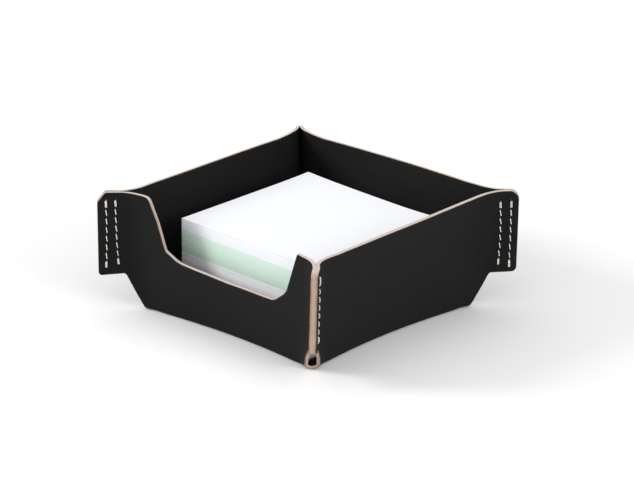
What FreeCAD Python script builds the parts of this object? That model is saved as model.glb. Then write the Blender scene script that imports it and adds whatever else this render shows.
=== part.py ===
"""Open desk tray for a block of note paper, folded from one sheet of thick leather.

The sheet's four corners are pinched into ears, and each ear is sewn through with two rows of
saddle stitches. A notch in the front wall lets a finger reach the paper. Millimetres, +Z up,
the front wall faces -Y, and the origin lies under the middle of the tray, on the desk.
"""
import FreeCAD, Part
import Sketcher
import math
import os
from types import SimpleNamespace

SIZES = {
    # the block of paper, which the tray is made to fit
    "paper_side": 90.0,
    "paper_clearance": 10.9,
    "paper_turn": -1.4,
    "paper_lower_white_height": 27.4,
    "paper_green_height": 12.0,
    "paper_upper_white_height": 5.8,
    "paper_loose_sheet_height": 0.1,
    # the folded sheet
    "leather_thickness": 1.7,
    "rim_height": 61.0,
    "wall_spread": 9.8,
    "front_draw_in": 3.7,
    "fold_radius": 1.9,
    # the ears at the four corners, measured outwards along the diagonal
    "ear_length": 11.5,
    "ear_bottom": 18.0,
    "ear_top_round": 5.0,
    "ear_bottom_round": 2.0,
    "ear_inner_round": 1.5,
    "ear_gap": 0.2,
    "ear_slope_run": 10.1,
    "tip_length": 1.65,
    "channel_width": 4.2,
    "bend_base": 8.0,
    "bend_rim": 10.0,
    # the notch in the front wall
    "notch_depth": 30.5,
    "notch_slope_run": 13.5,
    "notch_round": 8.0,
    "horn_width": 14.7,
    "horn_round": 4.0,
    # the seams
    "stitch_count": 8,
    "stitch_slant": 0.3,
    "seam_end_margin": 3.0,
    "row_margin": 4.2,
    "row_spacing": 5.0,
    "thread_width": 0.8,
    "thread_clearance": 0.05,
}

CUT_MARGIN = 3.0        # how far a cutting outline runs past the leather
EAR_CUT_DEPTH = 20.0    # enough to cross both layers of an ear and the channel under it
NOTCH_CUT_DEPTH = 120.0
FOLD_STEPS = 4          # straight rulings round the fold between the base and the walls
QUARTERS = ("right", "back", "left", "front")
CORNERS = {"back_right": 45, "back_left": 135, "front_left": 225, "front_right": 315}
ROWS = {"outer": 0, "inner": 1}
DIAGONAL = math.sqrt(2)


class Size:
    """A number together with the sheet expression that gives it."""

    def __init__(self, value, text):
        self.value = value
        self.text = text

    def joined(self, sign, other, value):
        text = other.text if isinstance(other, Size) else repr(float(other))
        return Size(value, f"({self.text} {sign} {text})")

    def __add__(self, other):
        return self.joined("+", other, self.value + number(other))

    def __sub__(self, other):
        return self.joined("-", other, self.value - number(other))

    def __mul__(self, other):
        return self.joined("*", other, self.value * number(other))

    def __truediv__(self, other):
        return self.joined("/", other, self.value / number(other))

    def __neg__(self):
        return self * -1

    def root(self):
        return Size(math.sqrt(self.value), f"sqrt({self.text})")


def number(amount):
    return amount.value if isinstance(amount, Size) else float(amount)


doc = FreeCAD.newDocument("memo_tray")
sheet = doc.addObject("Spreadsheet::Sheet", "sizes")
for line, (alias, amount) in enumerate(SIZES.items(), 1):
    sheet.set(f"A{line}", alias)
    sheet.set(f"B{line}", str(amount))
    sheet.setAlias(f"B{line}", alias)
doc.recompute()
size = SimpleNamespace(**{alias: Size(float(amount), f"sizes.{alias}") for alias, amount in SIZES.items()})

# Sizes that follow from the ones in the sheet.
nought = size.leather_thickness * 0
base_half = size.paper_side / 2 + size.paper_clearance
rim_half = base_half + size.wall_spread
ear_reach = rim_half * DIAGONAL + size.ear_length
tip_reach = base_half * DIAGONAL + size.tip_length
closed_ear_half = size.leather_thickness + size.ear_gap / 2
open_ear_half = size.leather_thickness + size.channel_width / 2
seam_start = size.ear_bottom + size.seam_end_margin
seam_length = size.rim_height - size.seam_end_margin - seam_start
stitch_pitch = seam_length / size.stitch_count
thread_radius = size.thread_width / 2
hole_radius = thread_radius + size.thread_clearance


def row_reach(row):
    """How far out along the diagonal a row of stitches stands; row 0 is the outer one."""
    return ear_reach - size.row_margin - size.row_spacing * row


# Sketches, with every corner and radius bound to the sheet.
def origin_feature(body, role):
    return next(item for item in body.Origin.OriginFeatures if item.Role == role)


def new_sketch(body, name, role, height=nought, turn=0):
    """A sketch on one of the body's own planes, raised by height and turned in that plane's Y axis."""
    sketch = body.newObject("Sketcher::SketchObject", name)
    sketch.AttachmentSupport = [(origin_feature(body, role), "")]
    sketch.MapMode = "FlatFace"
    sketch.AttachmentOffset.Rotation = FreeCAD.Rotation(FreeCAD.Vector(0, 1, 0), turn)
    sketch.setExpression(".AttachmentOffset.Base.z", height.text)
    return sketch


def constrain(sketch, kind, *what, to=None):
    """Adds a constraint, with its value bound to the sheet where it has one."""
    if to is None:
        sketch.addConstraint(Sketcher.Constraint(kind, *what))
    else:
        index = sketch.addConstraint(Sketcher.Constraint(kind, *what, to.value))
        sketch.setExpression(f"Constraints[{index}]", to.text)


def draw_arc(sketch, corner, before, after, radius):
    """Rounds a corner. Returns the arc, where it leaves both lines, and its ends in that order."""
    half_angle = before.getAngle(after) / 2
    run = radius.value * math.tan(half_angle)
    start = corner - before * run
    end = corner + after * run
    inward = (after - before).normalize()
    centre = corner + inward * (radius.value / math.cos(half_angle))
    arc = sketch.addGeometry(Part.Arc(start, centre - inward * radius.value, end), False)
    turns_left = before.cross(after).z > 0
    return arc, start, end, (1, 2) if turns_left else (2, 1)


def draw_outline(sketch, corners):
    """Draws a closed outline through corners, each given as (x, y) or (x, y, round)."""
    places = [FreeCAD.Vector(corner[0].value, corner[1].value, 0) for corner in corners]
    count = len(corners)
    ways = [(places[(i + 1) % count] - places[i]).normalize() for i in range(count)]
    starts = list(places)
    ends = list(places)
    arcs = {}
    for i, corner in enumerate(corners):
        if len(corner) == 3:
            arc, ends[i], starts[i], order = draw_arc(sketch, places[i], ways[i - 1], ways[i], corner[2])
            arcs[i] = (arc, order)
    lines = []
    for i in range(count):
        lines.append(sketch.addGeometry(Part.LineSegment(starts[i], ends[(i + 1) % count]), False))
    for i, corner in enumerate(corners):
        if i in arcs:
            arc, (first, last) = arcs[i]
            mark = sketch.addGeometry(Part.Point(places[i]), True)
            constrain(sketch, "PointOnObject", mark, 1, lines[i - 1])
            constrain(sketch, "PointOnObject", mark, 1, lines[i])
            constrain(sketch, "Tangent", lines[i - 1], 2, arc, first)
            constrain(sketch, "Tangent", arc, last, lines[i], 1)
            constrain(sketch, "Radius", arc, to=corner[2])
        else:
            mark = lines[i]
            constrain(sketch, "Coincident", lines[i - 1], 2, mark, 1)
        constrain(sketch, "DistanceX", -1, 1, mark, 1, to=corner[0])
        constrain(sketch, "DistanceY", -1, 1, mark, 1, to=corner[1])


def draw_circle(sketch, x, y, radius):
    centre = FreeCAD.Vector(x.value, y.value, 0)
    circle = sketch.addGeometry(Part.Circle(centre, FreeCAD.Vector(0, 0, 1), radius.value), False)
    constrain(sketch, "DistanceX", -1, 1, circle, 3, to=x)
    constrain(sketch, "DistanceY", -1, 1, circle, 3, to=y)
    constrain(sketch, "Radius", circle, to=radius)


# Bodies and features.
def new_body(name):
    body = doc.addObject("PartDesign::Body", name)
    body.Label = name
    return body


def add_feature(body, kind, name, sketch=None, length=None, **settings):
    feature = body.newObject(kind, name)
    feature.Refine = False
    if sketch is not None:
        feature.Profile = sketch
    if length is not None:
        feature.setExpression("Length", length.text)
    for setting, amount in settings.items():
        setattr(feature, setting, amount)
    body.Tip = feature
    return feature


def repeat_at_corners(body, name, original):
    pattern = add_feature(body, "PartDesign::PolarPattern", name, Originals=[original], Angle=360)
    pattern.Axis = (origin_feature(body, "Z_Axis"), [""])
    pattern.Occurrences = len(CORNERS)


# The tray. Its section at any height is a star: four walls, with an ear between each two.
def between(height, low, high, top):
    """The size at a height that runs evenly from low at the base to high at the top."""
    return low + (high - low) * (height / top)


def wall_top_half(wall):
    return rim_half - size.front_draw_in if wall == "front" else rim_half


def wall_half(wall, height):
    return between(height, base_half, wall_top_half(wall), size.rim_height)


def wall_inset(wall):
    """How far a leaning wall's inner face lies behind its outer face, measured level."""
    lean = (wall_top_half(wall) - base_half) / size.rim_height
    return size.leather_thickness * (lean * lean + 1).root()


def ear_half(height):
    """Half the width over both layers: a channel at the base that closes up to the ear."""
    if height.value >= size.ear_bottom.value:
        return closed_ear_half
    return between(height, open_ear_half, closed_ear_half, size.ear_bottom)


def quarter_turn(x, y, quarter):
    return ((x, y), (-y, x), (-x, -y), (y, -x))[quarter]


def draw_section(sketch, height, fold, hollow):
    """Draws the whole star, or the hollow inside it, drawn in by fold where the base turns up."""
    halves = [wall_half(wall, height) - fold for wall in QUARTERS]
    ear = ear_half(height) - fold
    bend = between(height, size.bend_base, size.bend_rim, size.rim_height) + fold
    reach = ear_reach + CUT_MARGIN
    if hollow:
        halves = [half - wall_inset(wall) for half, wall in zip(halves, QUARTERS)]
        ear = ear - size.leather_thickness
        bend = bend + size.leather_thickness
        reach = reach + CUT_MARGIN
    side = ear * DIAGONAL
    corners = []
    for quarter in range(len(QUARTERS)):
        here = halves[quarter]
        beyond = halves[(quarter + 1) % len(QUARTERS)]
        for x, y, *rounding in (
                (here, here - side, bend),
                ((reach + ear) / DIAGONAL, (reach - ear) / DIAGONAL),
                ((reach - ear) / DIAGONAL, (reach + ear) / DIAGONAL),
                (beyond - side, beyond, bend)):
            corners.append((*quarter_turn(x, y, quarter), *rounding))
    draw_outline(sketch, corners)


def loft_star(body, kind, name, ground, radius, hollow):
    """Lofts the sections from the ground, round the fold and up to the rim."""
    angles = [math.radians(90 * step / FOLD_STEPS) for step in range(FOLD_STEPS + 1)]
    levels = [(ground + radius * (1 - math.cos(a)), radius * (1 - math.sin(a))) for a in angles]
    levels.append((size.ear_bottom, nought))
    levels.append((size.rim_height, nought))
    sketches = []
    for index, (height, fold) in enumerate(levels):
        sketches.append(new_sketch(body, f"{name}_section_{index}", "XY_Plane", height))
        draw_section(sketches[-1], height, fold, hollow)
    add_feature(body, kind, name, sketches[0], Sections=sketches[1:], Ruled=True)


def trim_ears(body):
    """Trims the ears and the channels under them to the outline that the sheet was cut to."""
    slope = size.ear_slope_run / size.ear_bottom
    beyond = ear_reach + CUT_MARGIN * 3
    above = size.rim_height + CUT_MARGIN
    below = nought - CUT_MARGIN
    round_start = ear_reach - size.ear_top_round * 2
    sketch = new_sketch(body, "ear_outline", "XZ_Plane", turn=45)
    draw_outline(sketch, [
        (tip_reach + slope * below, below),
        (tip_reach + size.ear_slope_run, size.ear_bottom, size.ear_inner_round),
        (ear_reach, size.ear_bottom, size.ear_bottom_round),
        (ear_reach, size.rim_height, size.ear_top_round),
        (round_start, size.rim_height),
        (round_start, above),
        (beyond, above),
        (beyond, below)])
    cut = add_feature(body, "PartDesign::Pocket", "ear_trim", sketch,
                      SideType="Symmetric", Length=EAR_CUT_DEPTH)
    repeat_at_corners(body, "ear_trims", cut)


def cut_notch(body):
    """Cuts the finger notch down into the front wall, with a rounded horn on each side."""
    above = size.rim_height + CUT_MARGIN
    top_half = rim_half - size.horn_width
    shoulder = top_half + size.horn_round * 2
    side = [(top_half - size.notch_slope_run, size.rim_height - size.notch_depth, size.notch_round),
            (top_half, size.rim_height, size.horn_round),
            (shoulder, size.rim_height),
            (shoulder, above)]
    mirrored = [(-x, y, *rounding) for x, y, *rounding in reversed(side)]
    sketch = new_sketch(body, "notch_outline", "XZ_Plane")
    draw_outline(sketch, side + mirrored)
    add_feature(body, "PartDesign::Pocket", "notch", sketch, Length=NOTCH_CUT_DEPTH, Reversed=True)


def punch_holes(body):
    """Punches the stitch holes through both layers of every ear."""
    sketch = new_sketch(body, "stitch_holes", "XZ_Plane", turn=45)
    for row in ROWS.values():
        for hole in range(SIZES["stitch_count"] + 1):
            draw_circle(sketch, row_reach(row), seam_start + stitch_pitch * hole, hole_radius)
    cut = add_feature(body, "PartDesign::Pocket", "punch", sketch,
                      SideType="Symmetric", Length=EAR_CUT_DEPTH)
    repeat_at_corners(body, "punches", cut)


def make_tray():
    body = new_body("leather_tray")
    floor = size.leather_thickness
    loft_star(body, "PartDesign::AdditiveLoft", "outside", nought, size.fold_radius + floor, False)
    trim_ears(body)
    cut_notch(body)
    loft_star(body, "PartDesign::SubtractiveLoft", "inside", floor, size.fold_radius, True)
    punch_holes(body)


# The thread of one row, drawn at the origin: it lies on both faces and fills every hole.
def make_thread(name):
    body = new_body(name)
    beside = closed_ear_half + size.thread_clearance + thread_radius
    first_hole = new_sketch(body, "first_hole", "XZ_Plane")
    draw_circle(first_hole, nought, seam_start, thread_radius)
    crossing = add_feature(body, "PartDesign::Pad", "thread_in_hole", first_hole, beside * 2,
                           SideType="Symmetric")
    stitch_ends = new_sketch(body, "stitch_ends", "XY_Plane", seam_start)
    for face in (-1, 1):
        draw_circle(stitch_ends, -size.stitch_slant / 2, beside * face, thread_radius)
    stitches = add_feature(body, "PartDesign::Pad", "stitch_pair", stitch_ends, stitch_pitch,
                           UseCustomVector=True, AlongSketchNormal=True, AllowMultiFace=True,
                           Direction=FreeCAD.Vector(0, 0, 1))
    stitches.setExpression("Direction.x", size.stitch_slant.text)
    stitches.setExpression("Direction.z", stitch_pitch.text)
    row = add_feature(body, "PartDesign::LinearPattern", "stitch_row",
                      length=seam_length - stitch_pitch, Originals=[crossing, stitches])
    row.Direction = (origin_feature(body, "Z_Axis"), [""])
    row.setExpression("Occurrences", size.stitch_count.text)
    last_hole = new_sketch(body, "last_hole", "XZ_Plane")
    draw_circle(last_hole, nought, seam_start + seam_length, thread_radius)
    add_feature(body, "PartDesign::Pad", "thread_end", last_hole, beside * 2, SideType="Symmetric")
    return body


def repeat_body(name, original):
    """Another body with the same features."""
    body = new_body(name)
    clone = body.newObject("PartDesign::FeatureBase", f"{name}_clone")
    clone.BaseFeature = original
    body.Tip = clone
    return body


def place_thread(body, angle, reach):
    """Stands a row of stitches in its ear."""
    turn = math.radians(angle)
    body.Placement.Rotation = FreeCAD.Rotation(FreeCAD.Vector(0, 0, 1), angle)
    body.setExpression("Placement.Base.x", (reach * math.cos(turn)).text)
    body.setExpression("Placement.Base.y", (reach * math.sin(turn)).text)


def make_threads():
    first = None
    for corner, angle in CORNERS.items():
        for row_name, row in ROWS.items():
            name = f"thread_{corner}_{row_name}"
            body = repeat_body(name, first) if first else make_thread(name)
            first = first or body
            place_thread(body, angle, row_reach(row))


# The paper: stacks of square sheets, turned a little in the tray, as they were dropped in.
def make_stack(name, bottom, thickness):
    body = new_body(name)
    half = size.paper_side / 2
    sketch = new_sketch(body, f"{name}_outline", "XY_Plane", bottom)
    draw_outline(sketch, [(half, -half), (half, half), (-half, half), (-half, -half)])
    add_feature(body, "PartDesign::Pad", f"{name}_stack", sketch, thickness)
    body.Placement.Rotation = FreeCAD.Rotation(FreeCAD.Vector(0, 0, 1), SIZES["paper_turn"])


def make_paper():
    level = size.leather_thickness
    for layer, thickness in (
            ("paper_lower_white", size.paper_lower_white_height),
            ("paper_green", size.paper_green_height),
            ("paper_upper_white", size.paper_upper_white_height),
            ("paper_loose_sheet", size.paper_loose_sheet_height)):
        make_stack(layer, level, thickness)
        level = level + thickness


def check_and_export():
    for item in doc.Objects:
        if {"Invalid", "Error"} & set(item.State):
            raise RuntimeError(f"{item.Name} failed: {item.State}")
    os.makedirs("parts", exist_ok=True)
    bodies = doc.findObjects("PartDesign::Body")
    for body in bodies:
        if body.Shape.isNull() or not body.Shape.isValid():
            raise RuntimeError(f"{body.Label} has no sound shape")
    for body in bodies:
        body.Shape.exportStep(f"parts/{body.Label}.step")
        print(body.Label, len(body.Shape.Solids), round(body.Shape.Volume, 1))


make_tray()
make_threads()
make_paper()
doc.recompute()
check_and_export()
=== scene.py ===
"""A tray of thick black leather for a block of note paper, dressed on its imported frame.

Metres, +Z up, the notched front wall faces -Y. Sizes below are in millimetres unless they say so.
"""
import math

import bpy
import bmesh
from mathutils import Matrix, Vector, noise
from mathutils.geometry import delaunay_2d_cdt


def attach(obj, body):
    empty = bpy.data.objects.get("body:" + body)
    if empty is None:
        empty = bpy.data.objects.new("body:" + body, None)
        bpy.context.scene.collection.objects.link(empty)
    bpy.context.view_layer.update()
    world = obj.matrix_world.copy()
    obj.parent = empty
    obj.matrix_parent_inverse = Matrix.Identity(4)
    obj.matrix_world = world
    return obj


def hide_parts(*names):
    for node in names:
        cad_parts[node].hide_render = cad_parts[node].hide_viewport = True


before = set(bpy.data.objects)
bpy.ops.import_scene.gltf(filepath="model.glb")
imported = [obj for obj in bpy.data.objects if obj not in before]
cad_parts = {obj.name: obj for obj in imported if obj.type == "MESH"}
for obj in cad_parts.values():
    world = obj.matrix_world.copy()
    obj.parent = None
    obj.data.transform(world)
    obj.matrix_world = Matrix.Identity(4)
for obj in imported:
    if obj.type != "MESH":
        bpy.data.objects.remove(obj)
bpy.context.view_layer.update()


# ---------------------------------------------------------------------------------------------
# Leather tray
# One sheet of thick vegetable-tanned leather, dyed black on both faces and raw at its cut edges.
# The walls are folded up wet, and each corner of the sheet is pinched into a standing ear.
# ---------------------------------------------------------------------------------------------
MM = 0.001
DIAGONAL = math.sqrt(2)
# Which way each wall faces, in degrees round from +X. The corners stand at 45, 135, 225 and 315,
# and a point's reach is how far it lies from the tray's middle towards its corner.
WALL_TURNS = {"right": 0, "back": 90, "left": 180, "front": 270}

# On the flat sheet, a runs along a wall from the wall's middle, and v up the wall from the base.
THICKNESS = 1.7
RIM = 61.0
SHEET_SPAN = 64.8
FOLD_SPAN = 5.9
FOLD_RADIUS = 2.3
CHANNEL_RADIUS = 3.75
FOLD_OPENS = (42.0, 55.0)
WALL_END = 54.0
EAR_AT = 60.0
EAR_REACH = 104.4
EAR_HALF = 1.73
EAR_CLOSES = (6.5, 18.0)
TIP_REACH = 80.7
CHANNEL_STEP = 0.6
PINCH_SOFTNESS_FOOT = 4.0
PINCH_SOFTNESS_RIM = 6.5

# Half the tray's width at the foot and at the rim of each wall: at its right-hand corner, its
# middle and its left-hand corner, seen from above with the wall at the top.
BASE_HALF = {"right": (58.5, 54.6, 59.3), "back": (59.3, 55.4, 57.5),
             "left": (57.5, 55.4, 59.6), "front": (59.6, 55.0, 58.5)}
RIM_HALF = {"right": (65.3, 65.7, 65.7), "back": (67.7, 65.5, 63.2),
            "left": (65.7, 65.7, 65.7), "front": (60.6, 61.9, 63.3)}
# How much higher the rim stands at each corner, and how far each ear's outer edge curls aside.
CORNER_RISE = {45: 0.3, 135: -0.4, 225: 0.0, 315: -0.3}
EAR_CURL = {45: 0.5, 135: -0.35, 225: 0.4, 315: -1.1}
CURL_START = 99.0
CURL_POWER = 1.5
# The leather's slight waves: their height and width, where they are full, and where they end.
RIPPLE = 0.35
RIPPLE_WIDTH = 34
RIPPLE_FULL_AT = 25
RIPPLE_ENDS = (50, 60)


def eased(low, high, value):
    t = max(0.0, min(1.0, (value - low) / (high - low)))
    return t * t * (3 - 2 * t)


def three_way(places, q):
    """A smooth run through three values, at q = -1, 0 and 1."""
    low, middle, high = places
    return low * q * (q - 1) / 2 + middle * (1 - q * q) + high * q * (q + 1) / 2


def towards(degrees):
    return Vector((math.cos(math.radians(degrees)), math.sin(math.radians(degrees)), 0))


def corner_of(wall, a):
    return (WALL_TURNS[wall] + (45 if a > 0 else -45)) % 360


def rims_at(corner):
    """The two walls that meet at a corner, each with half the tray's width at its rim there."""
    walls = list(WALL_TURNS)
    first = (corner - 45) // 90
    before, after = walls[first], walls[(first + 1) % 4]
    return {before: RIM_HALF[before][2], after: RIM_HALF[after][0]}


def corner_half(corner):
    """Half the tray's width at the rim, as the mean of the two walls that meet at a corner."""
    return sum(rims_at(corner).values()) / 2


def fold_radius(a):
    """The fold between base and wall is tight, and opens out into the channel at each ear."""
    return FOLD_RADIUS + (CHANNEL_RADIUS - FOLD_RADIUS) * eased(*FOLD_OPENS, abs(a))


def fold_profile(a, v):
    """Height, and how far the sheet still is inside the wall's plane, at v up the sheet."""
    radius = fold_radius(a)
    if v < FOLD_SPAN:
        turn = v / FOLD_SPAN * math.pi / 2
        return radius * (1 - math.cos(turn)), radius * (1 - math.sin(turn))
    return radius + (RIM - radius) * (v - FOLD_SPAN) / (SHEET_SPAN - FOLD_SPAN), 0.0


def up_the_sheet(a, z):
    """The v at which the sheet reaches height z."""
    radius = fold_radius(a)
    if z < radius:
        return FOLD_SPAN * math.acos(1 - z / radius) / (math.pi / 2)
    return FOLD_SPAN + (SHEET_SPAN - FOLD_SPAN) * (z - radius) / (RIM - radius)


def along_wall(a):
    """From -1 at a wall's right-hand corner to 1 at its left-hand one."""
    return max(-1.0, min(1.0, a / WALL_END))


def wall_half(wall, a, z):
    """Half the tray's width at height z, before the corners are drawn to where the walls meet."""
    turn = WALL_TURNS[wall]
    ends = (corner_half((turn - 45) % 360), RIM_HALF[wall][1], corner_half((turn + 45) % 360))
    base = three_way(BASE_HALF[wall], along_wall(a))
    return base + (three_way(ends, along_wall(a)) - base) * z / RIM


def ear_half(z):
    """Half the width over both layers: an open channel at the foot that closes into the ear."""
    return CHANNEL_RADIUS + (EAR_HALF - CHANNEL_RADIUS) * eased(*EAR_CLOSES, z)


def soft_positive(t, softness):
    """The larger of t and nothing, with the bend between the two rounded off."""
    if t <= -softness:
        return 0.0
    return t if t >= softness else (t + softness) ** 2 / (4 * softness)


def settled(wall, a, point):
    """Draws a point to where the walls really meet, and ripples the sheet a little."""
    shifts = []
    for corner in (corner_of(wall, -1), corner_of(wall, 1)):
        shift = Vector((0, 0, CORNER_RISE[corner]))
        for meeting, half in rims_at(corner).items():
            shift += towards(WALL_TURNS[meeting]) * (half - corner_half(corner))
        shifts.append(shift)
    drawn = three_way((shifts[0], Vector((0, 0, 0)), shifts[1]), along_wall(a))
    ripple = noise.noise(point / RIPPLE_WIDTH) * RIPPLE * min(1.0, point.z / RIPPLE_FULL_AT)
    fade = 1 - eased(*RIPPLE_ENDS, abs(a))
    return point + drawn * (point.z / RIM) + towards(WALL_TURNS[wall]) * ripple * fade


def bent_aside(spot):
    """How far a spot of the stitched tray is carried aside where an ear's outer edge curls."""
    corner = 45 + 90 * math.floor(math.degrees(math.atan2(spot.y, spot.x)) % 360 / 90)
    outward = towards(corner)
    beyond = max(0.0, spot.dot(outward) - CURL_START) / (EAR_REACH - CURL_START)
    return Vector((-outward.y, outward.x, 0)) * EAR_CURL[corner] * beyond ** CURL_POWER


def sheet_point(wall, a, v):
    """Where a point of the flat sheet comes to on the outer face of the folded tray."""
    z, inset = fold_profile(a, v)
    half = wall_half(wall, a, z) - inset
    reach = (abs(a) + half) / DIAGONAL
    ear = ear_half(z) - inset * CHANNEL_RADIUS / fold_radius(a)
    softness = PINCH_SOFTNESS_FOOT + (PINCH_SOFTNESS_RIM - PINCH_SOFTNESS_FOOT) * z / RIM
    aside = ear + soft_positive(half * DIAGONAL - ear - reach, softness)
    out = (reach + aside) / DIAGONAL
    along = math.copysign((reach - aside) / DIAGONAL, a)
    turn = math.radians(WALL_TURNS[wall])
    return settled(wall, a, Vector((out * math.cos(turn) - along * math.sin(turn),
                                    out * math.sin(turn) + along * math.cos(turn), z)))


def on_ear(wall, side, reach, z):
    """The flat sheet's (a, v) for a point of an ear, given by its reach and height."""
    v = up_the_sheet(EAR_AT, z)
    inset = fold_profile(EAR_AT, v)[1]
    return side * (reach * DIAGONAL - (wall_half(wall, EAR_AT * side, z) - inset)), v


def rounded(corners, spacing):
    """A line through corners, each (x, y, radius), with arcs drawn at about spacing."""
    line = []
    for index, (x, y, radius) in enumerate(corners):
        here = Vector((x, y))
        if radius == 0:
            line.append(here)
            continue
        before = (here - Vector(corners[index - 1][:2])).normalized()
        after = (Vector(corners[index + 1][:2]) - here).normalized()
        half_angle = before.angle(after) / 2
        centre = here + (after - before).normalized() * radius / math.cos(half_angle)
        start = here - before * radius * math.tan(half_angle) - centre
        steps = max(LEAST_ARC_STEPS, round(radius * half_angle * 2 / spacing))
        sweep = -before.angle_signed(after)
        line += [centre + Matrix.Rotation(sweep * step / steps, 2) @ start
                 for step in range(steps + 1)]
    return line


def divided(line, spacing):
    """The same line with points added so that none are further apart than spacing."""
    points = [line[0]]
    for start, end in zip(line, line[1:]):
        steps = max(1, round((end - start).length / spacing))
        points += [start.lerp(end, step / steps) for step in range(1, steps + 1)]
    return points


# The front wall's rim and its wide, low notch: along the wall, height, and how round it bends.
NOTCH_EDGE = [
    (-56.5, 61.0, 0.0), (-49.2, 61.2, 3.6), (-43.9, 49.0, 20.0), (-39.8, 35.4, 1.8),
    (-31.7, 31.3, 14.0), (-20.0, 30.5, 60.0), (0.0, 29.7, 60.0), (24.0, 30.2, 60.0),
    (33.0, 30.5, 9.0), (42.2, 37.6, 12.0), (51.6, 61.6, 1.3), (55.0, 61.2, 0.0)]
# The other rims dip a little: their height at the same three places as the widths above.
RIMS = {"right": (60.2, 60.5, 60.9), "back": (60.5, 60.9, 60.2), "left": (60.3, 60.6, 61.0)}
# Each ear's cut edge from its root up to the rim: reach, height, and how round the corner is.
EAR_EDGES = {
    45: [(90.8, 17.7, 1.6), (104.2, 18.2, 2.6), (105.2, 61.0, 5.0)],
    135: [(90.8, 18.0, 1.6), (104.4, 18.0, 2.2), (104.6, 55.4, 2.5), (95.5, 61.0, 4.0)],
    225: [(90.8, 18.4, 1.6), (104.3, 17.4, 2.0), (104.7, 56.0, 1.6), (100.8, 61.0, 2.2)],
    315: [(88.0, 13.2, 1.6), (104.4, 18.0, 2.2), (104.4, 61.0, 3.6)]}
RIM_END = 48
RIM_STEP = 6
EAR_TOP = 9
ARC_SPACING = 0.5
LEAST_ARC_STEPS = 3
EAR_SPACING = 0.7
NOTCH_ARC_SPACING = 0.6
NOTCH_SPACING = 0.9
LEAST_SPACING = 0.3
MOST_SPACING = 1.6
CHANNEL_POINTS = 9
FOLD_POINTS = 104


def ear_edge(wall, side):
    """The cut edge of one wall's half of an ear, from the channel's tip up and in to the rim."""
    corners = EAR_EDGES[corner_of(wall, side)]
    last = (corners[-1][0] - EAR_TOP, RIM, 0)
    line = rounded([(TIP_REACH, 0, 0), *corners, last], ARC_SPACING)
    return [Vector(on_ear(wall, side, x, y)) for x, y in divided(line, EAR_SPACING)]


def sheet_outline(wall):
    """One wall's cut edge on the flat sheet, anticlockwise, and the fold line at its foot."""
    if wall == "front":
        rim = divided(rounded(NOTCH_EDGE, NOTCH_ARC_SPACING), NOTCH_SPACING)
    else:
        rim = [Vector((a, three_way(RIMS[wall], a / RIM_END)))
               for a in range(-RIM_END, RIM_END + 1, RIM_STEP)]
    rim = [Vector((x, up_the_sheet(x, z))) for x, z in reversed(rim)]
    line = [ear_edge(wall, 1)[0]]
    for point in ear_edge(wall, 1) + rim + ear_edge(wall, -1)[::-1]:
        if (point - line[-1]).length > LEAST_SPACING:
            line.append(point)
    line = divided(line, MOST_SPACING)
    # In the channels the fold's points keep one spacing, so that two walls' points meet there.
    ends = [[on_ear(wall, side, TIP_REACH - CHANNEL_STEP * step, 0.0)[0]
             for step in range(1, CHANNEL_POINTS)] for side in (-1, 1)]
    run = ends[1][-1] - ends[0][-1]
    middle = [ends[0][-1] + run * step / FOLD_POINTS for step in range(1, FOLD_POINTS)]
    return line + [Vector((a, 0.0)) for a in ends[0] + middle + ends[1][::-1]]


HOLE_RADIUS = 0.42
HOLE_SIDES = 8
STITCHES = 8
UNEVENNESS_SEED = 5
noise.seed_set(UNEVENNESS_SEED)
# How far apart the unevenness is read for two rows of holes, and for two holes of a row.
ROWS_APART = 7.3
HOLES_APART = 3.1
# How far a hole may stray along the ear and up it. The outermost holes keep to their heights.
STRAY_ALONG = 0.15
STRAY_UP = 0.28
# The front right ear's first stitch is a long one, by this much against the others.
FIRST_STITCH = {45: 1.0, 135: 1.0, 225: 1.0, 315: 1.5}
# Each ear's two rows of stitches: reach at the bottom, middle and top, and the span of heights.
SEAMS = {
    45: (((100.3, 100.9, 101.1), (20.3, 56.0)), ((94.8, 95.8, 95.7), (21.5, 55.7))),
    135: (((100.2, 100.1, 100.2), (21.0, 55.6)), ((95.2, 95.3, 95.2), (21.0, 56.6))),
    225: (((100.5, 100.0, 100.4), (21.1, 57.1)), ((94.2, 95.2, 95.6), (22.7, 57.3))),
    315: (((98.9, 98.8, 98.9), (20.95, 56.95)), ((94.3, 94.4, 94.5), (19.3, 55.3)))}


def seam_holes(corner):
    """Reach and height of every hole of an ear, row by row, a little uneven as by hand."""
    rows = []
    for row, (reaches, heights) in enumerate(SEAMS[corner]):
        holes = []
        for index in range(STITCHES + 1):
            gone = FIRST_STITCH[corner] + index - 1 if index else 0.0
            share = 1 - gone / (FIRST_STITCH[corner] + STITCHES - 1)
            uneven = noise.noise_vector(Vector((corner, row * ROWS_APART, index * HOLES_APART)))
            stray_up = STRAY_UP if 0 < index < STITCHES else 0.0
            height = heights[0] + (heights[1] - heights[0]) * share
            holes.append((three_way(reaches, share * 2 - 1) + uneven.x * STRAY_ALONG,
                          height + uneven.y * stray_up))
        rows.append(holes)
    return rows


def hole_rings(wall):
    """The stitch holes of one wall's two ears, as small rings on the flat sheet."""
    turns = [math.tau * step / HOLE_SIDES for step in range(HOLE_SIDES)]
    rings = []
    for side in (1, -1):
        for row in seam_holes(corner_of(wall, side)):
            for reach, z in row:
                rings.append([Vector(on_ear(wall, side, reach + HOLE_RADIUS * math.cos(turn),
                                            z + HOLE_RADIUS * math.sin(turn))) for turn in turns])
    return rings


def inside(loop, point):
    """Whether a point of the flat sheet lies within a closed loop."""
    within = False
    for start, end in zip(loop, loop[1:] + loop[:1]):
        if (start.y > point.y) != (end.y > point.y):
            if point.x < start.x + (point.y - start.y) * (end.x - start.x) / (end.y - start.y):
                within = not within
    return within


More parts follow.
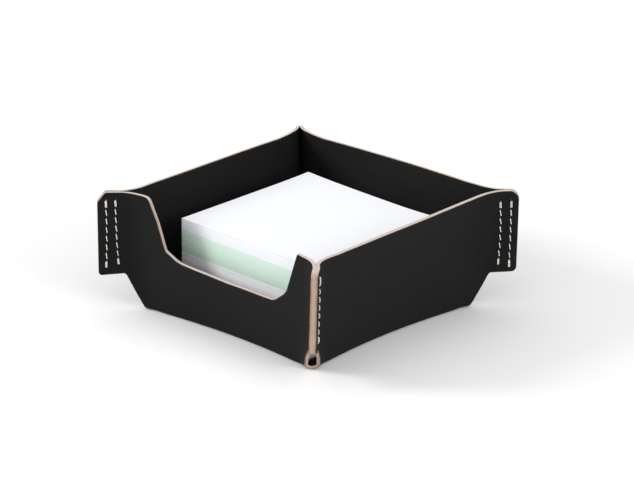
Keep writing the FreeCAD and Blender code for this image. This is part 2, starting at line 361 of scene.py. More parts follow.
FOLD_ROWS = 9
WALL_ROW = 1.35
ABOVE_RIM = 2
MIDDLE_COLUMN = 3.4
MIDDLE_COLUMNS = 13
PINCH_FROM = 46
PINCH_COLUMN = 1.15
WALL_COLUMN = 2.0
BEYOND_EARS = 94
CLEAR_OF_EDGES = 0.55
NEAR_HOLE = 2
HOLE_REACH = 0.7
SAME_PLACE = 0.004
ON_FOLD_LINE = 1e-6
# What delaunay_2d_cdt is told: to keep the triangles inside the outline, and what is near.
TRIANGLES_INSIDE = 1
NEARNESS = 1e-5


def sheet_grid():
    """Points that fill a wall: close together round the fold, the pinches and the ears."""
    levels = [FOLD_SPAN * step / FOLD_ROWS for step in range(FOLD_ROWS + 1)]
    while levels[-1] < SHEET_SPAN + ABOVE_RIM:
        levels.append(levels[-1] + WALL_ROW)
    along = [MIDDLE_COLUMN * step for step in range(MIDDLE_COLUMNS)]
    while along[-1] < BEYOND_EARS:
        along.append(along[-1] + (PINCH_COLUMN if along[-1] > PINCH_FROM else WALL_COLUMN))
    along = [-a for a in reversed(along[1:])] + along
    return [Vector((a, v)) for v in levels for a in along]


def cut_wall(wall):
    """One wall of the flat sheet as points and triangles, with its stitch holes left open."""
    outline = sheet_outline(wall)
    rings = hole_rings(wall)
    points, edges, edge_points = [], [], {}
    for loop in [outline] + rings:
        first = len(points)
        points += loop
        edges += [(first + i, first + (i + 1) % len(loop)) for i in range(len(loop))]
    for point in points:
        edge_points.setdefault((math.floor(point.x), math.floor(point.y)), []).append(point)
    for point in sheet_grid():
        column, level = math.floor(point.x), math.floor(point.y)
        near = [other for i in (-1, 0, 1) for j in (-1, 0, 1)
                for other in edge_points.get((column + i, level + j), ())]
        clear = all((other - point).length > CLEAR_OF_EDGES for other in near)
        if clear and inside(outline, point):
            points.append(point)
    flat, _, triangles, *_ = delaunay_2d_cdt(points, edges, [], TRIANGLES_INSIDE, NEARNESS)
    kept = []
    for triangle in triangles:
        middle = sum((flat[i] for i in triangle), Vector((0, 0))) / 3
        near = [ring for ring in rings if (ring[0] - middle).length < NEAR_HOLE]
        if not any(inside(ring, middle) for ring in near):
            kept.append(triangle)
    centres = [sum(ring, Vector((0, 0))) / len(ring) for ring in rings]
    return flat, kept, centres


def folded_sheet():
    """The whole sheet's outer face, folded up, as one mesh in metres."""
    form = bmesh.new()
    at_hole = form.verts.layers.float.new("at_hole")
    feet = []
    for wall in WALL_TURNS:
        flat, triangles, centres = cut_wall(wall)
        verts = []
        for spot in flat:
            vert = form.verts.new(sheet_point(wall, spot.x, spot.y))
            vert[at_hole] = float(any((spot - centre).length < HOLE_REACH for centre in centres))
            verts.append(vert)
        for triangle in triangles:
            form.faces.new([verts[i] for i in triangle])
        foot = sorted((spot.x, index) for index, spot in enumerate(flat) if spot.y < ON_FOLD_LINE)
        feet += [verts[index] for _, index in foot]
    # The two sides of each channel meet along its bottom, and the base closes what is left.
    joined = bmesh.ops.find_doubles(form, verts=feet, dist=SAME_PLACE)["targetmap"]
    round_base = [joined.get(vert, vert) for vert in feet]
    met = [round_base.count(vert) > 1 for vert in round_base]
    base = []
    for index, vert in enumerate(round_base):
        last_of_channel = met[index] and not met[(index + 1) % len(met)]
        if not met[index] or last_of_channel:
            base.append(vert)
    bmesh.ops.weld_verts(form, targetmap=joined)
    bottom = form.faces.new(base)
    bmesh.ops.recalc_face_normals(form, faces=form.faces)
    if bottom.normal.z > 0:
        bmesh.ops.reverse_faces(form, faces=form.faces)
    for vert in form.verts:
        vert.co *= MM
    mesh = bpy.data.meshes.new("folded_sheet")
    form.to_mesh(mesh)
    form.free()
    return mesh


def as_object(name, mesh):
    piece = bpy.data.objects.new(name, mesh)
    bpy.context.scene.collection.objects.link(piece)
    return piece


def made_plain(piece):
    """Turns a piece with modifiers into a plain mesh."""
    graph = bpy.context.evaluated_depsgraph_get()
    mesh = bpy.data.meshes.new_from_object(
        piece.evaluated_get(graph), preserve_all_data_layers=True, depsgraph=graph)
    piece.modifiers.clear()
    piece.data = mesh
    mesh.name = piece.name


# Across a cut edge: how far the leather stands back from the knife's line, from face to face.
# The two layers of an ear are trimmed together, so there the inner half stays square.
EDGE_PROFILE = ((0.0, 0.2), (0.17, 0.06), (0.5, -0.03), (0.83, 0.06), (1.0, 0.2))
EAR_PROFILE = ((0.0, 0.2), (0.17, 0.06), (0.5, -0.02), (0.83, -0.02), (1.0, 0.02))
EDGE_CUTS = 5
EARS_MEET = 96.0
CUT_ROUGHNESS = 0.06
ROUGHNESS_SIZE = 1.1


def set_back(profile, depth):
    """How far the cut edge stands back at a depth from 0, the outer face, to 1, the inner one."""
    for (low, start), (high, end) in zip(profile, profile[1:]):
        if depth <= high:
            return start + (end - start) * (depth - low) / (high - low)


def dress_cut_edges(mesh, outer_count):
    """Rounds the cut edges and roughens them, and marks depth, edges and how far each faces up for
    the finishes; the last sets a painted highlight.
    """
    form = bmesh.new()
    form.from_mesh(mesh)
    form.edges.index_update()
    at_hole = form.verts.layers.float["at_hole"]
    depth = form.verts.layers.float.new("depth")
    edge = form.verts.layers.float.new("edge")
    worn = form.verts.layers.float.new("worn")
    for index, vert in enumerate(form.verts):
        vert[depth] = 0.0 if index < outer_count else 1.0
    cut_faces = []
    for face in form.faces:
        if face.material_index == 1 and all(vert[at_hole] for vert in face.verts):
            face.material_index = 0
        elif face.material_index == 1:
            cut_faces.append(face)
    across = {side for face in cut_faces for side in face.edges
              if side.verts[0][depth] != side.verts[1][depth]}
    across = sorted(across, key=lambda side: side.index)
    bmesh.ops.subdivide_edges(form, edges=across, cuts=EDGE_CUTS)
    form.normal_update()
    moves = []
    for vert in form.verts:
        cut = [face for face in vert.link_faces if face.material_index == 1]
        if not cut or vert[at_hole]:
            continue
        vert[edge] = 1.0
        outward = sum((face.normal for face in cut), Vector((0, 0, 0))).normalized()
        # How far the cut edge faces up: it sets a painted highlight on the top edges.
        vert[worn] = max(outward.z, 0.0)
        reach = (abs(vert.co.x) + abs(vert.co.y)) / DIAGONAL / MM
        on_ear_edge = reach > EARS_MEET and vert.co.z > EAR_CLOSES[1] * MM
        back = set_back(EAR_PROFILE if on_ear_edge else EDGE_PROFILE, vert[depth])
        back += noise.noise(vert.co / MM * ROUGHNESS_SIZE) * CUT_ROUGHNESS
        moves.append((vert, outward * -back * MM))
    for vert, move in moves:
        vert.co += move
    for vert in form.verts:
        vert.co += bent_aside(vert.co / MM) * MM
    form.to_mesh(mesh)
    form.free()


SHARP_FROM = 50
tray = as_object("black_leather_tray", folded_sheet())
outer_count = len(tray.data.vertices)
thicken = tray.modifiers.new("thickness", "SOLIDIFY")
thicken.thickness = THICKNESS * MM
thicken.offset = -1
thicken.use_even_offset = True
thicken.material_offset_rim = 1


# Blender tells a Mix node's colour sockets from its others by their places only.
MIX_SHARE, MIX_FIRST, MIX_SECOND, MIX_COLOUR = 0, 6, 7, 2


class Signal:
    """A socket in a tree of nodes. Sums of signals and numbers add Math nodes."""

    def __init__(self, tree, socket=None):
        self.tree = tree
        self.socket = socket

    def node(self, kind, settings=None, sockets=None, output=0):
        """Adds a node. Settings come first, then each socket's value, signal or list of signals."""
        new = self.tree.nodes.new(kind)
        for name, value in (settings or {}).items():
            if name == "stops":
                while len(new.color_ramp.elements) < len(value):
                    new.color_ramp.elements.new(0.5)
                for element, (position, colour) in zip(new.color_ramp.elements, value):
                    element.position = position
                    element.color = (*colour, 1)
            else:
                setattr(new, name, value)
        for name, value in (sockets or {}).items():
            for one in value if isinstance(value, list) else [value]:
                if isinstance(one, Signal):
                    self.tree.links.new(one.socket, new.inputs[name])
                else:
                    new.inputs[name].default_value = one
        return Signal(self.tree, new.outputs[output] if new.outputs else None)

    def math(self, operation, *values):
        return self.node("ShaderNodeMath", {"operation": operation}, dict(enumerate(values)))

    def __add__(self, other):
        return self.math("ADD", self, other)

    def __sub__(self, other):
        return self.math("SUBTRACT", self, other)

    def __rsub__(self, other):
        return self.math("SUBTRACT", other, self)

    def __mul__(self, other):
        return self.math("MULTIPLY", self, other)

    __radd__ = __add__
    __rmul__ = __mul__

    def clipped(self):
        return self.math("MINIMUM", self.math("MAXIMUM", self, 0.0), 1.0)

    def mixed(self, first, second):
        """A colour between first and second, by this signal."""
        return self.node("ShaderNodeMix", {"data_type": "RGBA"}, {
            MIX_SHARE: self, MIX_FIRST: first, MIX_SECOND: second}, MIX_COLOUR)

    def place(self):
        """Where a point lies on its piece, in metres."""
        return self.node("ShaderNodeTexCoord", output="Object")

    def marked(self, name):
        """The number that a piece's points were marked with under a name."""
        return self.node("ShaderNodeAttribute", {"attribute_name": name}, output="Fac")

    def noise(self, place, scale, detail=2.0, roughness=0.5):
        return self.node("ShaderNodeTexNoise", {}, {
            "Vector": place, "Scale": scale, "Detail": detail, "Roughness": roughness})

    def bumped(self, height, distance, strength):
        return self.node("ShaderNodeBump", {}, {
            "Height": height, "Distance": distance, "Strength": strength})


def new_finish(name):
    """A material with only its output. Returns it and a signal to start its nodes from."""
    finish = bpy.data.materials.new(name)
    finish.use_nodes = True
    finish.node_tree.nodes.clear()
    return finish, Signal(finish.node_tree)


def finish_with(signal, **sockets):
    """Adds the shader and the output, with each socket's value or signal."""
    named = {name.replace("_", " "): value for name, value in sockets.items()}
    shader = signal.node("ShaderNodeBsdfPrincipled", {}, named)
    signal.node("ShaderNodeOutputMaterial", {}, {"Surface": shader})


# The dye at its deepest and where it is cloudy, and the leather rubbed brown along its edges.
DEEP_BLACK = (0.0052, 0.0051, 0.0050, 1)
CLOUDY_BLACK = (0.0095, 0.0093, 0.0091, 1)
RUBBED_BROWN = (0.10, 0.055, 0.035, 1)
# The cut edge's colours from the dyed outer face to the inner one, and the paler painted highlight
# where it faces up.
EDGE_LAYERS = [
    (0.0, (0.14, 0.078, 0.052)), (0.07, (0.26, 0.15, 0.10)), (0.3, (0.34, 0.215, 0.155)),
    (0.6, (0.40, 0.29, 0.225)), (1.0, (0.45, 0.355, 0.29))]
HIGHLIT_EDGE = (0.62, 0.555, 0.50, 1)


def black_leather():
    """Dyed leather: a fine pebbled grain, faintly cloudy, rubbed brown along its edges."""
    finish, start = new_finish("black_leather")
    place = start.place()
    wander = start.node("ShaderNodeTexNoise", {}, {"Vector": place, "Scale": 700.0}, "Color")
    bent = start.node("ShaderNodeVectorMath", {"operation": "MULTIPLY_ADD"}, {
        0: wander, 1: (0.0007, 0.0007, 0.0007), 2: place})
    pebbles = start.node("ShaderNodeTexVoronoi", {"feature": "SMOOTH_F1"}, {
        "Vector": bent, "Scale": 950.0, "Smoothness": 0.35})
    clouds = start.noise(place, scale=28.0, detail=3.0)
    creases = start.noise(place, scale=900.0)
    pores = start.noise(place, scale=3200.0)
    grain = pebbles * -0.7 + creases * 0.3 + pores * 0.12
    tone = (clouds * 0.7 + pebbles * 0.35).clipped()
    black = tone.mixed(DEEP_BLACK, CLOUDY_BLACK)
    patches = start.noise(place, scale=700.0)
    rubbed = (start.marked("edge") * 2.2 - 1.5 + patches).clipped() * 0.5
    finish_with(
        start,
        Base_Color=rubbed.mixed(black, RUBBED_BROWN),
        Roughness=0.55 + clouds * 0.1 + pebbles * 0.08,
        Specular_IOR_Level=0.1,
        Normal=start.bumped(grain, distance=0.00012, strength=0.5))
    return finish


def raw_leather_edge():
    """Undyed fibres: darkest beside the dyed outer face, and painted paler as a highlight where the
    edge faces up.
    """
    finish, start = new_finish("raw_leather_edge")
    place = start.place()
    fibres = start.noise(place, scale=1500.0, detail=4.0, roughness=0.65)
    patches = start.noise(place, scale=160.0, detail=3.0)
    across = start.marked("depth") + (fibres - 0.5) * 0.6 + (patches - 0.5) * 0.55
    layers = start.node("ShaderNodeValToRGB", {"stops": EDGE_LAYERS}, {"Fac": across.clipped()})
    # Painted highlight: edges that face up are paler, in patches.
    highlight = (start.marked("worn") * 0.8 + (patches - 0.5) * 0.3).clipped()
    finish_with(
        start,
        Base_Color=highlight.mixed(layers, HIGHLIT_EDGE),
        Roughness=0.8 + fibres * 0.15,
        Specular_IOR_Level=0.25,
        Normal=start.bumped(fibres, distance=0.0002, strength=0.7))
    return finish


tray.data.materials.append(black_leather())
tray.data.materials.append(raw_leather_edge())
made_plain(tray)
dress_cut_edges(tray.data, outer_count)
tray.data.shade_smooth()
tray.data.set_sharp_from_angle(angle=math.radians(SHARP_FROM))
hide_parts("leather_tray")
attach(tray, "tray")


# ---------------------------------------------------------------------------------------------
# Stitching
# Two rows of waxed linen thread close each ear, saddle-stitched by hand through both layers.
# Every stitch dives into its holes at both ends, and the first and last ones are sewn twice.
# ---------------------------------------------------------------------------------------------
STITCH_PITCH = 4.55
STITCH_LENGTH = 3.25
STITCH_RISE = 0.38
STITCH_DIVE = 1.4
# How square a stitch's arch is: higher is flatter along the top, with a steeper dive.
STITCH_SQUARENESS = 8.0
STITCH_SLANT = -0.15
THREAD_RADIUS = 0.31
THREAD_FLATNESS = 0.74
THREAD_TWISTS = 1.6
THREAD_SIDES = 8
STRAND_POINTS = 17
# A doubled stitch is two strands beside each other, a little longer and straighter than a single.
DOUBLE_SPREAD = 0.23
DOUBLE_LENGTH = 1.1
DOUBLE_SLANT = 0.3
DOUBLE_LIFT = 0.06
DOUBLE_OFFSET = 0.08
# How much the slant and the size of a stitch vary, and how thick the thread is inside a hole.
UNEVEN_SLANT = 0.08
UNEVEN_SIZE = (0.2, 0.15, 0.1)
STITCHES_APART = 2.7
IN_HOLE = 0.8
BELOW_FACE = 0.75
STRAND_MARKS = {"crosses": "BOOLEAN", "aim": "FLOAT_VECTOR", "face": "FLOAT_VECTOR",
                "size": "FLOAT_VECTOR"}


def new_growth(name, inputs):
    """A geometry tree with named inputs: a signal to start its nodes from, and each input's."""
    tree = bpy.data.node_groups.new(name, "GeometryNodeTree")
    inputs = {"Geometry": "Geometry", **inputs}
    for label, kind in inputs.items():
        tree.interface.new_socket(label, in_out="INPUT", socket_type=f"NodeSocket{kind}")
    tree.interface.new_socket("Geometry", in_out="OUTPUT", socket_type="NodeSocketGeometry")
    sockets = tree.nodes.new("NodeGroupInput").outputs
    return Signal(tree), {label: Signal(tree, sockets[label]) for label in inputs}


def finish_growth(signal, instances, finish):
    """Ends a geometry tree: its instances are made real and get their material."""
    real = signal.node("GeometryNodeRealizeInstances", {}, {"Geometry": instances})
    done = signal.node("GeometryNodeSetMaterial", {}, {"Geometry": real, "Material": finish})
    signal.node("NodeGroupOutput", {}, {"Geometry": done})
    return signal.tree


def grown(name, mesh, tree, values):
    """A plain piece grown from mesh by a tree, with the tree's inputs set by their names."""
    piece = as_object(name, mesh)
    growth = piece.modifiers.new("growth", "NODES")
    growth.node_group = tree
    for item in tree.interface.items_tree:
        if item.in_out == "INPUT" and item.name in values:
            growth[item.identifier] = values[item.name]
    made_plain(piece)
    return piece


def stitch_tree():
    """Lays a twisted strand along every mark: arched for a stitch, straight inside a hole."""
    start, given = new_growth("hand_stitches", {
        "Length": "Float", "Radius": "Float", "Rise": "Float", "Dive": "Float",
        "Twist": "Float", "Finish": "Material"})
    line = start.node("GeometryNodeCurvePrimitiveLine", {}, {
        "Start": (0.0, 0.0, -0.5), "End": (0.0, 0.0, 0.5)})
    line = start.node("GeometryNodeResampleCurve", {}, {
        "Curve": line, "Count": STRAND_POINTS})
    along = start.node("GeometryNodeSplineParameter", output="Factor")
    from_middle = along - 0.5
    to_end = start.math("ABSOLUTE", from_middle * 2.0)
    dive = start.math("POWER", to_end, STITCH_SQUARENESS) * given["Dive"]
    arch = start.node("ShaderNodeCombineXYZ", {}, {
        "X": given["Rise"] - dive, "Z": from_middle * given["Length"]})
    arched = start.node("GeometryNodeSetPosition", {}, {"Geometry": line, "Position": arch})
    section = start.node("GeometryNodeCurvePrimitiveCircle", {}, {
        "Resolution": THREAD_SIDES, "Radius": given["Radius"]})
    section = start.node("GeometryNodeTransform", {}, {
        "Geometry": section, "Scale": (1.0, THREAD_FLATNESS, 1.0)})
    mark = {name: start.node("GeometryNodeInputNamedAttribute", {"data_type": kind}, {
        "Name": name}) for name, kind in STRAND_MARKS.items()}
    stays = start.node("FunctionNodeBooleanMath", {"operation": "NOT"}, {0: mark["crosses"]})
    aimed = start.node("FunctionNodeAlignRotationToVector", {"axis": "Z"}, {
        "Vector": mark["aim"]})
    faced = start.node("FunctionNodeAlignRotationToVector", {"axis": "X", "pivot_axis": "Z"}, {
        "Rotation": aimed, "Vector": mark["face"]})
    laid = []
    for shape, chosen in ((arched, stays), (line, mark["crosses"])):
        tilted = start.node("GeometryNodeSetCurveTilt", {}, {
            "Curve": shape, "Tilt": along * given["Twist"]})
        strand = start.node("GeometryNodeCurveToMesh", {}, {
            "Curve": tilted, "Profile Curve": section, "Fill Caps": True})
        laid.append(start.node("GeometryNodeInstanceOnPoints", {}, {
            "Points": given["Geometry"], "Selection": chosen, "Instance": strand,
            "Rotation": faced, "Scale": mark["size"]}))
    strands = start.node("GeometryNodeJoinGeometry", {}, {"Geometry": laid})
    return finish_growth(start, strands, given["Finish"])


def ear_face(corner, side):
    """One face of an ear: its holes' centres row by row, and the way that face looks."""
    wall = next(name for name in WALL_TURNS if corner_of(name, side) == corner)
    rows = [[sheet_point(wall, *on_ear(wall, side, *hole)) for hole in row]
            for row in seam_holes(corner)]
    rows = [[spot + bent_aside(spot) for spot in row] for row in rows]
    middle = STITCHES // 2
    across = (rows[0][middle] - rows[1][middle]).cross(rows[0][0] - rows[0][-1]) * side
    return rows, across.normalized()


def stitches_along(row, look, corner):
    """A mark for each strand of one row on one face, from the top down."""
    for index, (top, bottom) in enumerate(zip(row, row[1:])):
        uneven = noise.noise_vector(Vector((corner, index * STITCHES_APART, top.x)))
        aim = (top - bottom).normalized()
        sideways = aim.cross(look)
        twice = index in (0, STITCHES - 1)
        slant = STITCH_SLANT * (DOUBLE_SLANT if twice else 1.0) + uneven.x * UNEVEN_SLANT
        aim = (aim + sideways * slant).normalized()
        size = Vector((1 + uneven.y * UNEVEN_SIZE[0], 1 + uneven.z * UNEVEN_SIZE[1],
                       1 + uneven.z * UNEVEN_SIZE[2]))
        size.z *= (top - bottom).length / STITCH_PITCH * (DOUBLE_LENGTH if twice else 1.0)
        for place in ((-1, 1) if twice else (0,)):
            spot = (top + bottom) / 2 + sideways * DOUBLE_SPREAD * place
            spot = spot + look * DOUBLE_LIFT * place + aim * DOUBLE_OFFSET * place
            yield spot, False, aim, look, size


def strands_through(near_row, far_row):
    """A mark for the thread inside each hole of one row, from face to face."""
    for near, far in zip(near_row, far_row):
        through = near - far
        size = Vector((IN_HOLE, IN_HOLE, (through.length - 2 * BELOW_FACE) * MM))
        yield (near + far) / 2, True, through.normalized(), Vector((0, 0, 1)), size


def stitch_marks():
    """A vertex for each strand, with where it points, the face it lies on and its size."""
    marks = []
    for corner in SEAMS:
        faces = [ear_face(corner, side) for side in (1, -1)]
        if (faces[0][0][0][0] - faces[1][0][0][0]).dot(faces[0][1]) < 0:
            faces = [(rows, -look) for rows, look in faces]
        for rows, look in faces:
            for row in rows:
                marks += stitches_along(row, look, corner)
        for near_row, far_row in zip(faces[0][0], faces[1][0]):
            marks += strands_through(near_row, far_row)
    mesh = bpy.data.meshes.new("stitch_marks")
    mesh.from_pydata([mark[0] * MM for mark in marks], [], [])
    for column, (name, kind) in enumerate(STRAND_MARKS.items(), 1):
        layer = mesh.attributes.new(name, kind, "POINT")
        for index, mark in enumerate(marks):
            if kind == "BOOLEAN":
                layer.data[index].value = mark[column]
            else:
                layer.data[index].vector = mark[column]
    return mesh


SOILED_LINEN = (0.60, 0.56, 0.53, 1)
CLEAN_LINEN = (0.86, 0.84, 0.80, 1)


def waxed_thread():
    """Pale linen: fibrous, a little soiled here and there, with a dull sheen of wax."""
    finish, start = new_finish("waxed_thread")
    place = start.place()
    fibres = start.noise(place, scale=5200.0, roughness=0.6)
    patches = start.noise(place, scale=420.0)
    tone = (fibres * 0.5 + patches * 0.7 - 0.1).clipped()
    finish_with(
        start,
        Base_Color=tone.mixed(SOILED_LINEN, CLEAN_LINEN),
        Roughness=0.6 + fibres * 0.2,
        Specular_IOR_Level=0.35,
        Normal=start.bumped(fibres, distance=0.0001, strength=0.6))
    return finish


stitching = grown("waxed_thread_stitching", stitch_marks(), stitch_tree(), {
    "Length": STITCH_LENGTH * MM, "Radius": THREAD_RADIUS * MM, "Rise": STITCH_RISE * MM,
    "Dive": STITCH_DIVE * MM, "Twist": math.tau * THREAD_TWISTS, "Finish": waxed_thread()})
stitching.data.shade_smooth()
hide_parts(*[f"thread_{corner}_{row}" for row in ("outer", "inner")
                         for corner in ("back_right", "back_left", "front_left", "front_right")])
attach(stitching, "tray")


# ---------------------------------------------------------------------------------------------
# Memo block
# Loose square sheets of note paper in three colours of stack, guillotined together and dropped
# into the tray, so that they lie a hair out of line with one another.
# ---------------------------------------------------------------------------------------------
PAPER_SIDE = 89.2
PAPER_TURN = -1.4
PAPER_PLACE = (0.3, 0.2)
LOWER_WHITE = 27.4
GREEN = 12.0
UPPER_WHITE = 5.8
BLOCK_TOP = 46.9
# A leaf stands for a few sheets. It may lie a little out of place and out of square.
LEAF = 0.45
LEAF_FULLNESS = 0.97
LEAF_POINTS = 13
LEAF_PLAY = 0.05
LEAF_SKEW = 0.07
# The two corners at the back curl up: each one's side in x, and how high.
CURLS = ((1, 1.1), (-1, 0.5))
CURL_FROM = 0.58
# How sharply a curl rises towards its corner, and how soon it fades further down.
CURL_RISES = 2.5
CURL_FADES = 1.5
PAPER_WAVE = 0.12
PAPER_WAVE_WIDTH = 40
PAPER_WAVE_LEVEL = 3.0
# The lowest few sheets have slid to the front right corner, where they show through the channel.
SLID_UNDER = 2.6
SLID = Vector((7.2, -7.2))


def stack_tree():
    """Stacks square leaves, each a little out of place and out of square."""
    start, given = new_growth("stacked_leaves", {
        "Leaves": "Int", "Leaf": "Float", "Side": "Float", "Play": "Float", "Skew": "Float",
        "Seed": "Int", "Finish": "Material"})

    def within(reach, seed):
        """A random vector from minus reach to reach."""
        other_way = start.node("ShaderNodeVectorMath", {"operation": "SCALE"}, {
            0: reach, "Scale": -1.0})
        return start.node("FunctionNodeRandomValue", {"data_type": "FLOAT_VECTOR"}, {
            0: other_way, 1: reach, "Seed": seed})

    size = start.node("ShaderNodeCombineXYZ", {}, {
        "X": given["Side"], "Y": given["Side"], "Z": given["Leaf"] * LEAF_FULLNESS})
    leaf = start.node("GeometryNodeMeshCube", {}, {
        "Size": size, "Vertices X": LEAF_POINTS, "Vertices Y": LEAF_POINTS,
        "Vertices Z": 2})
    step = start.node("ShaderNodeCombineXYZ", {}, {"Z": given["Leaf"]})
    places = start.node("GeometryNodeMeshLine", {}, {"Count": given["Leaves"], "Offset": step})
    play = start.node("ShaderNodeCombineXYZ", {}, {"X": given["Play"], "Y": given["Play"]})
    skew = start.node("ShaderNodeCombineXYZ", {}, {"Z": given["Skew"]})
    stack = start.node("GeometryNodeInstanceOnPoints", {}, {
        "Points": places, "Instance": leaf, "Rotation": within(skew, given["Seed"] + 7.0)})
    stack = start.node("GeometryNodeTranslateInstances", {}, {
        "Instances": stack, "Translation": within(play, given["Seed"]), "Local Space": False})
    return finish_growth(start, stack, given["Finish"])


def paper(name, face, shade, dimmed):
    """Note paper: faintly fibrous, finely lined where the cut sheets show, dimmed by painted shade
    where marked.
    """
    finish, start = new_finish(name)
    place = start.place()
    squeezed = start.node("ShaderNodeVectorMath", {"operation": "MULTIPLY"}, {
        0: place, 1: (0.03, 0.03, 1.0)})
    leaves = start.noise(squeezed, scale=5200.0, roughness=0.7)
    bundles = start.noise(squeezed, scale=900.0, roughness=0.6)
    fibres = start.noise(place, scale=2600.0, detail=3.0)
    tone = (leaves * 0.5 + bundles * 0.45 + fibres * 0.15).clipped()
    finish_with(
        start,
        # Painted shade: the colour is drawn towards the dimmed one by how far the piece is marked
        # for it.
        Base_Color=start.marked("age").mixed(tone.mixed(shade, face), dimmed),
        Roughness=0.86 + fibres * 0.1,
        Specular_IOR_Level=0.2,
        Normal=start.bumped(leaves * 0.8 + fibres * 0.2, distance=0.00006, strength=0.4))
    return finish


def lay_in_tray(piece, age):
    """Turns paper to its place, curls its back corners, most at the top, and marks how far painted
    shade dims it.
    """
    turn = Matrix.Rotation(math.radians(PAPER_TURN), 3, "Z")
    curl_low = BLOCK_TOP - UPPER_WHITE
    for vert in piece.data.vertices:
        x, y, z = vert.co / MM
        if z < SLID_UNDER:
            x, y = x + SLID.x, y + SLID.y
        share = max(0.0, min(1.0, (z - curl_low) / (BLOCK_TOP - curl_low)))
        lift = 0.0
        for across, height in CURLS:
            corner = max(0.0, (across * x + y) / PAPER_SIDE - CURL_FROM) / (1 - CURL_FROM)
            lift += height * corner ** CURL_RISES * share ** CURL_FADES
        spot = Vector((x, y, PAPER_WAVE_LEVEL)) / PAPER_WAVE_WIDTH
        wave = noise.noise(spot) * PAPER_WAVE * share
        vert.co = (turn @ Vector((x, y, z + lift + wave)) + Vector((*PAPER_PLACE, 0))) * MM
    layer = piece.data.attributes.new("age", "FLOAT", "POINT")
    layer.data.foreach_set("value", [age] * len(piece.data.vertices))


# Each paper's dimmed colour is painted shade.
white = paper("white_paper", face=(0.95, 0.955, 0.97, 1), shade=(0.88, 0.885, 0.91, 1),
              dimmed=(0.78, 0.80, 0.84, 1))
green = paper("green_paper", face=(0.68, 0.83, 0.73, 1), shade=(0.60, 0.76, 0.65, 1),
              dimmed=(0.55, 0.70, 0.58, 1))
stack_of_leaves = stack_tree()
level = THICKNESS
# The last number of each stack is how far painted shade dims it, most on the upper white stack, to
# hold down the light it gets.
for node, slot, finish, height, seed, age in (
        ("paper_lower_white", "white_paper", white, LOWER_WHITE, 3, 0.0),
        ("paper_green", "green_paper", green, GREEN, 11, 0.1),
        ("paper_upper_white", "white_paper", white, UPPER_WHITE, 19, 0.8)):
    leaves = round(height / LEAF)
    spot = bpy.data.meshes.new(node)
    spot.from_pydata([(0, 0, 0)], [], [])
    stack = grown(f"{node}_sheets", spot, stack_of_leaves, {
        "Leaves": leaves, "Leaf": height / leaves * MM, "Side": PAPER_SIDE * MM,
        "Play": LEAF_PLAY * MM, "Skew": math.radians(LEAF_SKEW), "Seed": seed,
        "Finish": finish})
    stack.data.transform(Matrix.Translation((0, 0, (level + height / leaves / 2) * MM)))
    lay_in_tray(stack, age)
    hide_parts(node)
    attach(stack, "memo_block")
    level += height


# ---------------------------------------------------------------------------------------------
# Loose sheet
# The next sheet to be written on: one thin leaf lying free on the block, following its curl.
# ---------------------------------------------------------------------------------------------
SHEET_HEIGHT = 0.1
SHEET_CLEARANCE = 0.02
SHEET_WAVE = 0.05
SHEET_WAVE_WIDTH = 25
SHEET_SEGMENTS = 40
sheet_form = bmesh.new()
bmesh.ops.create_grid(sheet_form, x_segments=SHEET_SEGMENTS, y_segments=SHEET_SEGMENTS,
                      size=PAPER_SIDE / 2)
for vert in sheet_form.verts:
    wave = SHEET_WAVE * (1 + noise.noise(vert.co / SHEET_WAVE_WIDTH))
    vert.co.z = BLOCK_TOP + SHEET_HEIGHT + SHEET_CLEARANCE + wave
    vert.co *= MM
sheet_mesh = bpy.data.meshes.new("loose_sheet")
sheet_form.to_mesh(sheet_mesh)
sheet_form.free()
loose = as_object("loose_top_sheet", sheet_mesh)
leaf = loose.modifiers.new("leaf", "SOLIDIFY")
leaf.thickness = SHEET_HEIGHT * MM
leaf.offset = -1
loose.data.materials.append(white)
made_plain(loose)
# Painted shade dims the loose sheet halfway, to hold down the light on the block's top.
lay_in_tray(loose, 0.5)
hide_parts("paper_loose_sheet")
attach(loose, "loose_sheet")


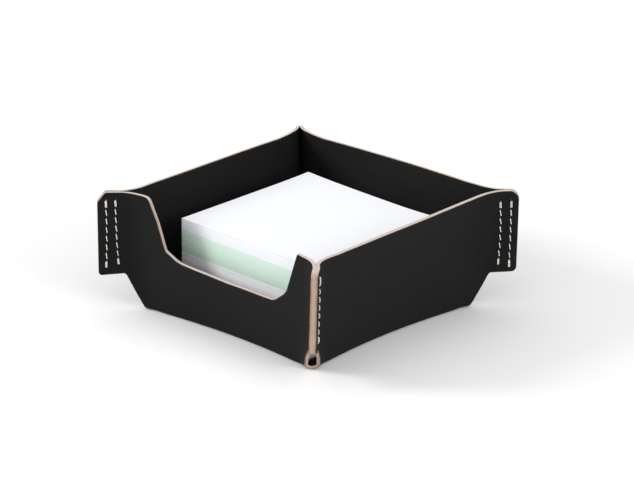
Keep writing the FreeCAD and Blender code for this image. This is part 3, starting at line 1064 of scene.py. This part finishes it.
# ---------------------------------------------------------------------------------------------
# Studio
# A plain pale floor in an even white room, with one soft light low on the left and a larger,
# weaker one on the right that opens up the shadows.
# ---------------------------------------------------------------------------------------------
FLOOR_RADIUS = 9.0
ROOM_BRIGHTNESS = 0.84
CAMERA_LENS = 312.3
CAMERA_PLACE = Vector((1.74633, -1.84680, 1.05386))
CAMERA_AIM = Vector((0.002257, 0.004280, 0.033833))
CAMERA_ROLL = math.radians(0.254)

floor_mesh = bpy.data.meshes.new("floor")
floor_form = bmesh.new()
bmesh.ops.create_circle(floor_form, cap_ends=True, segments=96, radius=FLOOR_RADIUS)
floor_form.to_mesh(floor_mesh)
floor_form.free()
floor = as_object("floor", floor_mesh)
floor_finish, floor_start = new_finish("pale_floor")
finish_with(floor_start, Base_Color=(0.93, 0.93, 0.93, 1), Roughness=0.9, Specular_IOR_Level=0.1)
floor.data.materials.append(floor_finish)

room = bpy.data.worlds.new("white_room")
room.use_nodes = True
room.node_tree.nodes["Background"].inputs["Color"].default_value = (1, 1, 1, 1)
room.node_tree.nodes["Background"].inputs["Strength"].default_value = ROOM_BRIGHTNESS
bpy.context.scene.world = room


def soft_light(name, place, size, watts):
    """A round lamp that faces the middle of the floor."""
    lamp = bpy.data.lights.new(name, "AREA")
    lamp.shape = "DISK"
    lamp.size = size
    lamp.energy = watts
    holder = bpy.data.objects.new(name, lamp)
    holder.location = place
    holder.rotation_euler = Vector(place).to_track_quat("Z", "Y").to_euler()
    bpy.context.scene.collection.objects.link(holder)


soft_light("left_softbox", place=(-1.75, -1.6, 1.1), size=0.9, watts=38)
soft_light("right_softbox", place=(2.3, 0.1, 0.9), size=1.4, watts=24)

camera_data = bpy.data.cameras.new("camera")
camera_data.sensor_width = 36.0
camera_data.lens = CAMERA_LENS
camera_data.clip_start = 0.05
camera_data.clip_end = 60.0
camera = bpy.data.objects.new("camera", camera_data)
bpy.context.scene.collection.objects.link(camera)
back = (CAMERA_PLACE - CAMERA_AIM).normalized()
side = Vector((0, 0, 1)).cross(back).normalized()
rise = back.cross(side)
right = side * math.cos(CAMERA_ROLL) + rise * math.sin(CAMERA_ROLL)
up = rise * math.cos(CAMERA_ROLL) - side * math.sin(CAMERA_ROLL)
turned = Matrix((right, up, back)).transposed().to_4x4()
camera.matrix_world = Matrix.Translation(CAMERA_PLACE) @ turned
bpy.context.scene.camera = camera
bpy.context.scene.view_settings.view_transform = "Standard"
